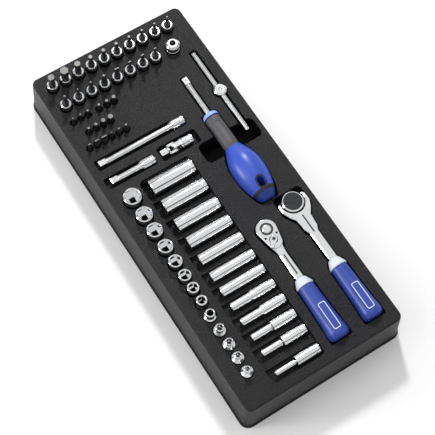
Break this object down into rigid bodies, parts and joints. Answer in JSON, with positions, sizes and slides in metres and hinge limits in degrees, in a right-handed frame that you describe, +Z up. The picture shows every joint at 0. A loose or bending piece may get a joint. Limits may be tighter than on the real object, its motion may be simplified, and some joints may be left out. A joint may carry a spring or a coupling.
{
  "type": "socket wrench set in drawer tray",
  "caption": "Moulded drawer tray holding a small square-drive set: ratchets, spinner, T-handle, extensions, universal joint, short and deep sockets, bit sockets and loose bits.",
  "frame": {"origin": "middle of the tray's underside, on the surface it rests on", "axes": "+Y along the tray towards the bit sockets, +Z up, +X across towards the ratchets"},
  "size_m": [0.1874, 0.4254, 0.071],
  "materials": {
    "black_abs": "fine pebbled grain, moulded",
    "chrome_vanadium": "satin to bright chrome plate",
    "black_oxide_steel": "black oxide",
    "tool_steel": "ground",
    "blue_grip": "satin moulded",
    "dark_grey_grip": "matt soft moulding",
    "pale_grey_plastic": "satin moulded",
    "black_nylon": "satin moulded"
  },
  "bodies": {
    "tray": {"tray": "black_abs"},
    "ratchet": {"ratchet_pawl": "tool_steel", "ratchet_body": "chrome_vanadium", "ratchet_cover": "chrome_vanadium", "ratchet_screws": "black_oxide_steel", "ratchet_collar": "pale_grey_plastic", "ratchet_grip": "blue_grip"},
    "ratchet_drive": {"ratchet_drive_gear": "tool_steel"},
    "ratchet_button": {"ratchet_release_button": "chrome_vanadium"},
    "ratchet_lever": {"ratchet_reversing_lever": "chrome_vanadium"},
    "flex_ratchet": {"flex_ratchet_fork": "chrome_vanadium", "flex_ratchet_hinge_pins": "tool_steel", "flex_ratchet_collar": "pale_grey_plastic", "flex_ratchet_grip": "blue_grip"},
    "flex_head": {"flex_ratchet_head": "chrome_vanadium"},
    "flex_drive": {"flex_ratchet_drive_gear": "tool_steel"},
    "flex_disc": {"flex_ratchet_reversing_disc": "black_nylon"},
    "universal_female": {"universal_female_fork": "chrome_vanadium"},
    "universal_cross": {"universal_cross": "tool_steel"},
    "universal_male": {"universal_male_fork": "chrome_vanadium"},
    "t_handle": {"t_handle_head": "chrome_vanadium"},
    "t_bar": {"t_handle_bar": "chrome_vanadium"},
    "spinner": {"spinner_shank": "chrome_vanadium", "spinner_core": "dark_grey_grip", "spinner_grip": "blue_grip"},
    "long_extension": {"long_extension": "chrome_vanadium"},
    "short_extension": {"short_extension": "chrome_vanadium"},
    "bit_holder": {"bit_holder": "chrome_vanadium"},
    "key_bit_sockets": {"key_bit_sleeves": "chrome_vanadium", "key_bits": "black_oxide_steel"},
    "screw_bit_sockets": {"screw_bit_sleeves": "chrome_vanadium", "screw_bits": "black_oxide_steel"},
    "loose_star_bits": {"loose_star_bits": "black_oxide_steel"},
    "loose_hexagon_bits": {"loose_hexagon_bits": "black_oxide_steel"},
    "loose_screw_bits": {"loose_screw_bits": "black_oxide_steel"},
    "deep_14mm": {"deep_socket_14mm": "chrome_vanadium"},
    "deep_13mm": {"deep_socket_13mm": "chrome_vanadium"},
    "deep_12mm": {"deep_socket_12mm": "chrome_vanadium"},
    "deep_11mm": {"deep_socket_11mm": "chrome_vanadium"},
    "deep_10mm": {"deep_socket_10mm": "chrome_vanadium"},
    "deep_9mm": {"deep_socket_9mm": "chrome_vanadium"},
    "deep_8mm": {"deep_socket_8mm": "chrome_vanadium"},
    "deep_7mm": {"deep_socket_7mm": "chrome_vanadium"},
    "deep_6mm": {"deep_socket_6mm": "chrome_vanadium"},
    "deep_5_5mm": {"deep_socket_5_5mm": "chrome_vanadium"},
    "deep_5mm": {"deep_socket_5mm": "chrome_vanadium"},
    "deep_4mm": {"deep_socket_4mm": "chrome_vanadium"},
    "short_14mm": {"short_socket_14mm": "chrome_vanadium"},
    "short_13mm": {"short_socket_13mm": "chrome_vanadium"},
    "short_12mm": {"short_socket_12mm": "chrome_vanadium"},
    "short_11mm": {"short_socket_11mm": "chrome_vanadium"},
    "short_10mm": {"short_socket_10mm": "chrome_vanadium"},
    "short_9mm": {"short_socket_9mm": "chrome_vanadium"},
    "short_8mm": {"short_socket_8mm": "chrome_vanadium"},
    "short_7mm": {"short_socket_7mm": "chrome_vanadium"},
    "short_6mm": {"short_socket_6mm": "chrome_vanadium"},
    "short_5_5mm": {"short_socket_5_5mm": "chrome_vanadium"},
    "short_5mm": {"short_socket_5mm": "chrome_vanadium"},
    "short_4_5mm": {"short_socket_4_5mm": "chrome_vanadium"},
    "short_4mm": {"short_socket_4mm": "chrome_vanadium"}
  },
  "joints": [
    {"name": "flex_head_tilt", "type": "hinge", "parent": "flex_ratchet", "child": "flex_head", "pos_m": [0.0662, -0.0505, 0.047], "axis": [1, 0, 0], "range_deg": [-90, 90]},
    {"name": "ratchet_reverse", "type": "hinge", "parent": "ratchet", "child": "ratchet_lever", "pos_m": [0.0268, -0.075, 0.052], "axis": [0, 0, 1], "range_deg": [0, 86]},
    {"name": "flex_reverse", "type": "hinge", "parent": "flex_head", "child": "flex_disc", "pos_m": [0.0662, -0.0505, 0.047], "axis": [0, 0, 1], "range_deg": [0, 40]},
    {"name": "universal_bend", "type": "hinge", "parent": "universal_cross", "child": "universal_male", "pos_m": [-0.0019, 0.065, 0.047], "axis": [0, 1, 0], "range_deg": [0, 45]},
    {"name": "universal_swing", "type": "hinge", "parent": "universal_female", "child": "universal_cross", "pos_m": [-0.0019, 0.065, 0.047], "axis": [0, 0, 1], "range_deg": [-10, 10]},
    {"name": "ratchet_turn", "type": "hinge", "parent": "ratchet", "child": "ratchet_drive", "pos_m": [0.0268, -0.062, 0.047], "axis": [0, 0, 1], "continuous": true},
    {"name": "flex_turn", "type": "hinge", "parent": "flex_head", "child": "flex_drive", "pos_m": [0.0662, -0.0505, 0.047], "axis": [0, 0, 1], "continuous": true},
    {"name": "ratchet_release", "type": "slide", "parent": "ratchet_drive", "child": "ratchet_button", "axis": [0, 0, -1], "range_m": [0, 0.0015], "stiffness_N_per_m": 400, "springref_m": -0.001},
    {"name": "t_bar_slide", "type": "slide", "parent": "t_handle", "child": "t_bar", "axis": [0, 1, 0], "range_m": [-0.0115, 0.002]},
    {"name": "ratchet_lift", "type": "slide", "parent": "tray", "child": "ratchet", "axis": [0, 0, 1], "range_m": [0, 0.06]},
    {"name": "flex_ratchet_lift", "type": "slide", "parent": "tray", "child": "flex_ratchet", "axis": [0, 0, 1], "range_m": [0, 0.06]},
    {"name": "spinner_lift", "type": "slide", "parent": "tray", "child": "spinner", "axis": [0, 0, 1], "range_m": [0, 0.06]},
    {"name": "t_handle_lift", "type": "slide", "parent": "tray", "child": "t_handle", "axis": [0, 0, 1], "range_m": [0, 0.06]},
    {"name": "universal_female_lift", "type": "slide", "parent": "tray", "child": "universal_female", "axis": [0, 0, 1], "range_m": [0, 0.05]},
    {"name": "long_extension_lift", "type": "slide", "parent": "tray", "child": "long_extension", "axis": [0, 0, 1], "range_m": [0, 0.05]},
    {"name": "short_extension_lift", "type": "slide", "parent": "tray", "child": "short_extension", "axis": [0, 0, 1], "range_m": [0, 0.05]},
    {"name": "bit_holder_lift", "type": "slide", "parent": "tray", "child": "bit_holder", "axis": [0, 0, 1], "range_m": [0, 0.06]},
    {"name": "key_bit_sockets_lift", "type": "slide", "parent": "tray", "child": "key_bit_sockets", "axis": [0, 0, 1], "range_m": [0, 0.06]},
    {"name": "screw_bit_sockets_lift", "type": "slide", "parent": "tray", "child": "screw_bit_sockets", "axis": [0, 0, 1], "range_m": [0, 0.06]},
    {"name": "loose_star_bits_lift", "type": "slide", "parent": "tray", "child": "loose_star_bits", "axis": [0, 0, 1], "range_m": [0, 0.05]},
    {"name": "loose_hexagon_bits_lift", "type": "slide", "parent": "tray", "child": "loose_hexagon_bits", "axis": [0, 0, 1], "range_m": [0, 0.05]},
    {"name": "loose_screw_bits_lift", "type": "slide", "parent": "tray", "child": "loose_screw_bits", "axis": [0, 0, 1], "range_m": [0, 0.05]},
    {"name": "deep_14mm_lift", "type": "slide", "parent": "tray", "child": "deep_14mm", "axis": [0, 0, 1], "range_m": [0, 0.05]},
    {"name": "deep_13mm_lift", "type": "slide", "parent": "tray", "child": "deep_13mm", "axis": [0, 0, 1], "range_m": [0, 0.05]},
    {"name": "deep_12mm_lift", "type": "slide", "parent": "tray", "child": "deep_12mm", "axis": [0, 0, 1], "range_m": [0, 0.05]},
    {"name": "deep_11mm_lift", "type": "slide", "parent": "tray", "child": "deep_11mm", "axis": [0, 0, 1], "range_m": [0, 0.05]},
    {"name": "deep_10mm_lift", "type": "slide", "parent": "tray", "child": "deep_10mm", "axis": [0, 0, 1], "range_m": [0, 0.05]},
    {"name": "deep_9mm_lift", "type": "slide", "parent": "tray", "child": "deep_9mm", "axis": [0, 0, 1], "range_m": [0, 0.05]},
    {"name": "deep_8mm_lift", "type": "slide", "parent": "tray", "child": "deep_8mm", "axis": [0, 0, 1], "range_m": [0, 0.05]},
    {"name": "deep_7mm_lift", "type": "slide", "parent": "tray", "child": "deep_7mm", "axis": [0, 0, 1], "range_m": [0, 0.05]},
    {"name": "deep_6mm_lift", "type": "slide", "parent": "tray", "child": "deep_6mm", "axis": [0, 0, 1], "range_m": [0, 0.05]},
    {"name": "deep_5_5mm_lift", "type": "slide", "parent": "tray", "child": "deep_5_5mm", "axis": [0, 0, 1], "range_m": [0, 0.05]},
    {"name": "deep_5mm_lift", "type": "slide", "parent": "tray", "child": "deep_5mm", "axis": [0, 0, 1], "range_m": [0, 0.05]},
    {"name": "deep_4mm_lift", "type": "slide", "parent": "tray", "child": "deep_4mm", "axis": [0, 0, 1], "range_m": [0, 0.05]},
    {"name": "short_14mm_lift", "type": "slide", "parent": "tray", "child": "short_14mm", "axis": [0, 0, 1], "range_m": [0, 0.05]},
    {"name": "short_13mm_lift", "type": "slide", "parent": "tray", "child": "short_13mm", "axis": [0, 0, 1], "range_m": [0, 0.05]},
    {"name": "short_12mm_lift", "type": "slide", "parent": "tray", "child": "short_12mm", "axis": [0, 0, 1], "range_m": [0, 0.05]},
    {"name": "short_11mm_lift", "type": "slide", "parent": "tray", "child": "short_11mm", "axis": [0, 0, 1], "range_m": [0, 0.05]},
    {"name": "short_10mm_lift", "type": "slide", "parent": "tray", "child": "short_10mm", "axis": [0, 0, 1], "range_m": [0, 0.05]},
    {"name": "short_9mm_lift", "type": "slide", "parent": "tray", "child": "short_9mm", "axis": [0, 0, 1], "range_m": [0, 0.05]},
    {"name": "short_8mm_lift", "type": "slide", "parent": "tray", "child": "short_8mm", "axis": [0, 0, 1], "range_m": [0, 0.05]},
    {"name": "short_7mm_lift", "type": "slide", "parent": "tray", "child": "short_7mm", "axis": [0, 0, 1], "range_m": [0, 0.05]},
    {"name": "short_6mm_lift", "type": "slide", "parent": "tray", "child": "short_6mm", "axis": [0, 0, 1], "range_m": [0, 0.05]},
    {"name": "short_5_5mm_lift", "type": "slide", "parent": "tray", "child": "short_5_5mm", "axis": [0, 0, 1], "range_m": [0, 0.05]},
    {"name": "short_5mm_lift", "type": "slide", "parent": "tray", "child": "short_5mm", "axis": [0, 0, 1], "range_m": [0, 0.05]},
    {"name": "short_4_5mm_lift", "type": "slide", "parent": "tray", "child": "short_4_5mm", "axis": [0, 0, 1], "range_m": [0, 0.05]},
    {"name": "short_4mm_lift", "type": "slide", "parent": "tray", "child": "short_4mm", "axis": [0, 0, 1], "range_m": [0, 0.05]}
  ]
}
